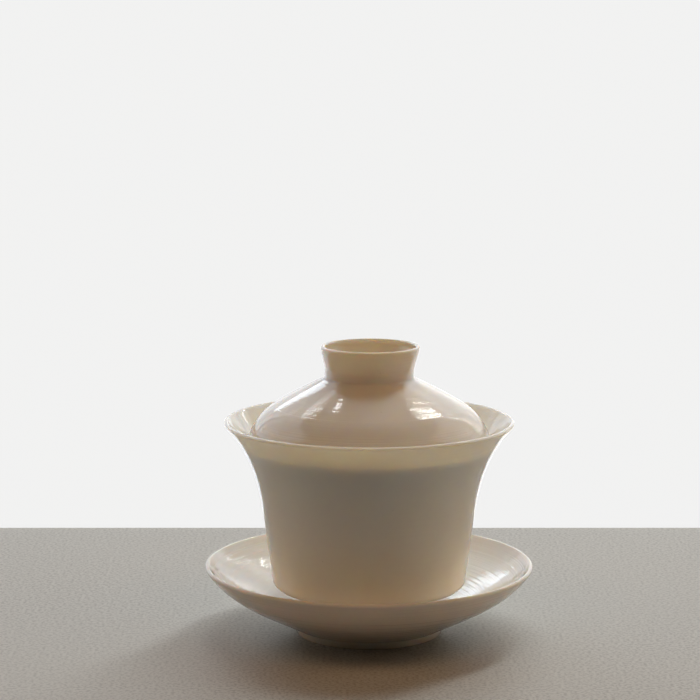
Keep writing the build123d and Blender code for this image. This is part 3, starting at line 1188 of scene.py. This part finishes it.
# ---- Table, light and camera ------------------------------------------------
@dataclass(frozen=True)
class Table:
    """Plain grey table top that ends behind the gaiwan."""

    back: float = 0.151
    front: float = -1.6
    half_width: float = 1.6
    thickness: float = 0.03
    grey: Colour = (0.63, 0.61, 0.57)
    fleck: Colour = (0.45, 0.43, 0.40)
    grit: float = 900.0
    clouds: float = 7.0
    relief: float = 0.3 * MM
    roughness: float = 0.62

    def make(self) -> None:
        """Build the slab and its finish."""
        material, w = new_material("table_top")
        place = w.add("ShaderNodeTexCoord").outputs["Object"]
        grit = w.add("ShaderNodeTexNoise", {"Vector": place, "Scale": self.grit, "Detail": 3.0})
        cloud = w.add("ShaderNodeTexNoise", {"Vector": place, "Scale": self.clouds, "Detail": 2.0})
        share = w.remap(grit.outputs[0], 0.42, 0.66, 0.0, 1.0)
        share = w.sum("MULTIPLY", share, w.remap(cloud.outputs[0], 0.3, 0.7, 0.75, 1.0))
        colour = w.mix(share, opaque(self.grey), opaque(self.fleck))
        bump = w.add(
            "ShaderNodeBump",
            {"Strength": 0.35, "Distance": self.relief, "Height": grit.outputs[0]},
        )
        top = w.add(
            "ShaderNodeBsdfPrincipled",
            {"Base Color": colour, "Roughness": self.roughness, "Normal": bump.outputs[0]},
        )
        w.add("ShaderNodeOutputMaterial", {"Surface": top.outputs[0]})
        side = self.half_width
        ground = [(-side, self.front), (side, self.front), (side, self.back), (-side, self.back)]
        corners = [(x, y, z) for z in (0.0, -self.thickness) for x, y in ground]
        faces = [(0, 1, 2, 3), (7, 6, 5, 4)]
        faces += [(k, k + 4, (k + 1) % 4 + 4, (k + 1) % 4) for k in range(4)]
        mesh = bpy.data.meshes.new("table")
        mesh.from_pydata(corners, [], faces)
        mesh.materials.append(material)
        table = bpy.data.objects.new("table", mesh)
        bpy.context.scene.collection.objects.link(table)


class Reach(Enum):
    """What a lamp lights. The glaze mirrors none of them, only the surroundings."""

    ALL = "table and gaiwan"
    PIECES = "gaiwan alone"


@dataclass(frozen=True)
class Lamp:
    """One soft rectangle of light round the table, which the camera doesn't see."""

    name: str
    azimuth: float  # degrees to the right of straight behind
    elevation: float
    width: float
    height: float
    radiance: float
    colour: Colour
    distance: float = 1.6
    aim: float = 0.0  # height of the point that it faces, over the foot ring's centre
    reach: Reach = Reach.ALL
    spread: float = 180.0  # degrees across its beam

    def make(self) -> None:
        """Hang the lamp, facing the gaiwan."""
        data = bpy.data.lights.new(self.name, "AREA")
        data.shape = "RECTANGLE"
        data.size, data.size_y = self.width, self.height
        data.energy = self.radiance * pi * self.width * self.height
        data.color = self.colour
        data.spread = radians(self.spread)
        turn, rise = radians(self.azimuth), radians(self.elevation)
        place = Vector((sin(turn) * cos(rise), cos(turn) * cos(rise), sin(rise)))
        facing = place.to_track_quat("Z", "Y").to_matrix().to_4x4()
        lamp = bpy.data.objects.new(self.name, data)
        target = Vector((0.0, 0.0, self.aim))
        lamp.matrix_world = Matrix.Translation(target + place * self.distance) @ facing
        lamp.visible_camera = False
        lamp.visible_glossy = False
        if self.reach is Reach.PIECES:
            lamp.light_linking.receiver_collection = bpy.data.collections[PIECES]
        bpy.context.scene.collection.objects.link(lamp)


@dataclass(frozen=True)
class Pane:
    """Bright part of the window, in degrees to the right of straight behind and up."""

    left: float
    right: float
    low: float
    high: float
    light: Colour
    soft: float = 0.5

    def mask(self, w: Wiring, azimuth: Socket, elevation: Socket) -> Socket:
        """Wire where the pane is.

        Args:
            w: The world's node tree.
            azimuth: Angle to the right of straight behind, in radians.
            elevation: Angle above the horizon, in radians.

        Returns:
            A socket that is 0 outside the pane and 1 inside it.
        """
        inside = 1.0
        soft = radians(self.soft)
        sides = (azimuth, self.left, self.right), (elevation, self.low, self.high)
        for angle, low, high in sides:
            middle, half = radians((low + high) / 2), radians((high - low) / 2)
            away = w.sum("ABSOLUTE", w.sum("SUBTRACT", angle, middle))
            within = w.remap(away, half - soft, half + soft, 1.0, 0.0)
            inside = w.sum("MULTIPLY", inside, within)
        return inside


@dataclass(frozen=True)
class Mirrored:
    """Surroundings that only the glaze mirrors: a lit curtain behind and a dim warm room."""

    cool: Colour = (1.40, 1.48, 1.60)
    plain: Colour = (1.42, 1.41, 1.38)
    ceiling: Colour = (0.27, 0.23, 0.195)
    room: Colour = (0.17, 0.125, 0.09)
    top: float = 49.0  # degrees up to the curtain's upper edge
    side: float = 92.0  # degrees round to its side edges
    folds: float = 7.0  # broad folds in each radian
    pleats: float = 34.0  # fine folds in each radian
    top_soft: float = 1.0
    side_soft: tuple[float, float] = (-4.0, 8.0)
    panes: tuple[Pane, ...] = (
        Pane(8.0, 40.0, 8.0, 38.0, (0.35, 0.42, 0.50), 2.0),
        Pane(21.0, 32.0, 31.0, 54.0, (0.6, 0.6, 0.6)),
        Pane(32.2, 33.8, 40.0, 56.0, (26.0, 26.0, 25.0), 0.3),
        Pane(36.0, 37.0, 19.0, 38.0, (4.0, 4.0, 4.0), 0.3),
        Pane(-31.0, -21.0, 42.0, 62.0, (0.8, 0.85, 0.9)),
        Pane(-28.5, -24.0, 57.0, 60.5, (9.0, 9.2, 9.4), 0.3),
        Pane(-33.0, -31.0, 44.0, 53.0, (7.0, 7.2, 7.4), 0.3),
        Pane(-21.5, -13.0, 17.0, 32.0, (2.2, 2.5, 2.8), 0.6),
    )

    def folded(self, w: Wiring, azimuth: Socket, each: float) -> Socket:
        """Uneven upright folds, each about so many to a radian."""
        inputs = {"W": w.sum("MULTIPLY", azimuth, each), "Scale": 1.0, "Detail": 1.0}
        return w.add("ShaderNodeTexNoise", inputs, noise_dimensions="1D").outputs[0]

    def colour(self, w: Wiring) -> Socket:
        """Wire the colour of each direction.

        Args:
            w: The world's node tree.

        Returns:
            The colour's socket.
        """
        direction = w.add("ShaderNodeTexCoord").outputs["Generated"]
        x, y, z = w.add("ShaderNodeSeparateXYZ", {0: direction}).outputs
        azimuth = w.sum("ARCTAN2", x, y)
        elevation = w.sum("ARCSINE", z)
        broad = w.remap(self.folded(w, azimuth, self.folds), 0.3, 0.7, 0.65, 1.2)
        fine = w.remap(self.folded(w, azimuth, self.pleats), 0.3, 0.7, 0.75, 1.2)
        across = w.remap(azimuth, -0.5, 0.4, 0.0, 1.0)
        tint = w.mix(across, opaque(self.cool), opaque(self.plain))
        curtain = w.scaled(tint, w.sum("MULTIPLY", broad, fine))
        start, end = (radians(self.top + soft) for soft in (-self.top_soft, self.top_soft))
        above = w.remap(elevation, start, end, 0.0, 1.0)
        curtain = w.mix(above, curtain, opaque(self.ceiling))
        for pane in self.panes:
            light = w.scaled(pane.light, pane.mask(w, azimuth, elevation))
            curtain = w.add("ShaderNodeVectorMath", {0: curtain, 1: light}).outputs[0]
        start, end = (radians(self.side + soft) for soft in self.side_soft)
        beside = w.remap(w.sum("ABSOLUTE", azimuth), start, end, 0.0, 1.0)
        return w.mix(beside, curtain, opaque(self.room))


@dataclass(frozen=True)
class Studio:
    """Plain bright backdrop, daylight from behind and a weak warm room in front."""

    backdrop: Colour = (0.885, 0.885, 0.88)
    room: Colour = (0.008, 0.006, 0.004)
    cool: Colour = (0.88, 0.98, 1.08)
    plain: Colour = (0.92, 1.0, 1.03)
    warm: Colour = (1.0, 0.53, 0.23)
    wall: Colour = (1.0, 0.74, 0.50)
    dish: Colour = (1.0, 0.80, 0.55)

    def lamps(self) -> list[Lamp]:
        """List the soft lights, from the curtained window behind to the room in front.

        Returns:
            The lamps.
        """
        soft = [
            Lamp("curtain_low", 0.0, 9.0, 0.80, 0.40, 5.4, self.plain),
            Lamp("curtain_left", -32.0, 24.0, 0.60, 0.60, 2.8, self.cool),
            Lamp("curtain_right", 32.0, 24.0, 0.60, 0.60, 2.2, self.plain),
            Lamp("tall_window", 33.0, 55.0, 0.17, 1.0, 13.0, self.plain),
            Lamp("high_light", -4.0, 66.0, 0.36, 0.36, 7.8, self.plain),
            Lamp("side_right", 102.0, 46.0, 0.60, 0.60, 1.1, self.wall),
            Lamp("side_left", -102.0, 46.0, 0.60, 0.60, 1.0, self.wall),
            Lamp("room_right", 145.0, 60.0, 0.7, 0.7, 0.95, self.warm),
            Lamp("room_left", -145.0, 60.0, 0.7, 0.7, 0.85, self.warm),
        ]
        # Light that the room's walls throw back on the sides of the bowl.
        only = Reach.PIECES
        edges = [("edge_right", 84.0, 0.50), ("edge_left", -80.0, 0.36)]
        beams = [
            Lamp(name, azimuth, 9.0, 0.10, 0.05, radiance, self.wall, 0.5, 0.048, only, 28.0)
            for name, azimuth, radiance in edges
        ]
        # Light that the dish throws back on the foot of the bowl's wall.
        spots = [
            ("dish_right", 112.0, 0.95),
            ("dish_left", -112.0, 0.80),
            ("dish_front", 180.0, 0.30),
        ]
        dish = [
            Lamp(name, azimuth, -12.0, 0.030, 0.006, radiance, self.dish, 0.047, 0.030, only)
            for name, azimuth, radiance in spots
        ]
        return soft + beams + dish

    def make(self) -> None:
        """Set the world and hang the lamps."""
        world = bpy.data.worlds.new("studio")
        bpy.context.scene.world = world
        world.use_nodes = True
        world.node_tree.nodes.clear()
        w = Wiring(world.node_tree)
        ray = w.add("ShaderNodeLightPath").outputs
        colour = w.mix(ray["Is Glossy Ray"], opaque(self.room), Mirrored().colour(w))
        colour = w.mix(ray["Is Camera Ray"], colour, opaque(self.backdrop))
        light = w.add("ShaderNodeBackground", {"Color": colour})
        w.add("ShaderNodeOutputWorld", {"Surface": light.outputs[0]})
        for lamp in self.lamps():
            lamp.make()


@dataclass(frozen=True)
class Camera:
    """Long lens from a little above the table."""

    right: float = -0.00645
    distance: float = 0.760
    height: float = 0.2154
    pitch: float = 8.86
    lens: float = 117.7
    sensor: float = 36.0

    def make(self) -> None:
        """Set up the scene's camera."""
        data = bpy.data.cameras.new("camera")
        data.lens = self.lens
        data.sensor_width = self.sensor
        data.clip_start, data.clip_end = 0.02, 20.0
        camera = bpy.data.objects.new("camera", data)
        camera.location = (self.right, -self.distance, self.height)
        camera.rotation_euler = (radians(90.0 - self.pitch), 0.0, 0.0)
        bpy.context.scene.collection.objects.link(camera)
        bpy.context.scene.camera = camera


def main() -> None:
    """Build the gaiwan, its table, its light and its camera."""
    logging.basicConfig(level=logging.INFO, format="%(name)s: %(message)s")
    bpy.context.scene.view_settings.view_transform = "Standard"
    Gaiwan().make()
    Table().make()
    Studio().make()
    Camera().make()


if __name__ == "__main__":
    main()
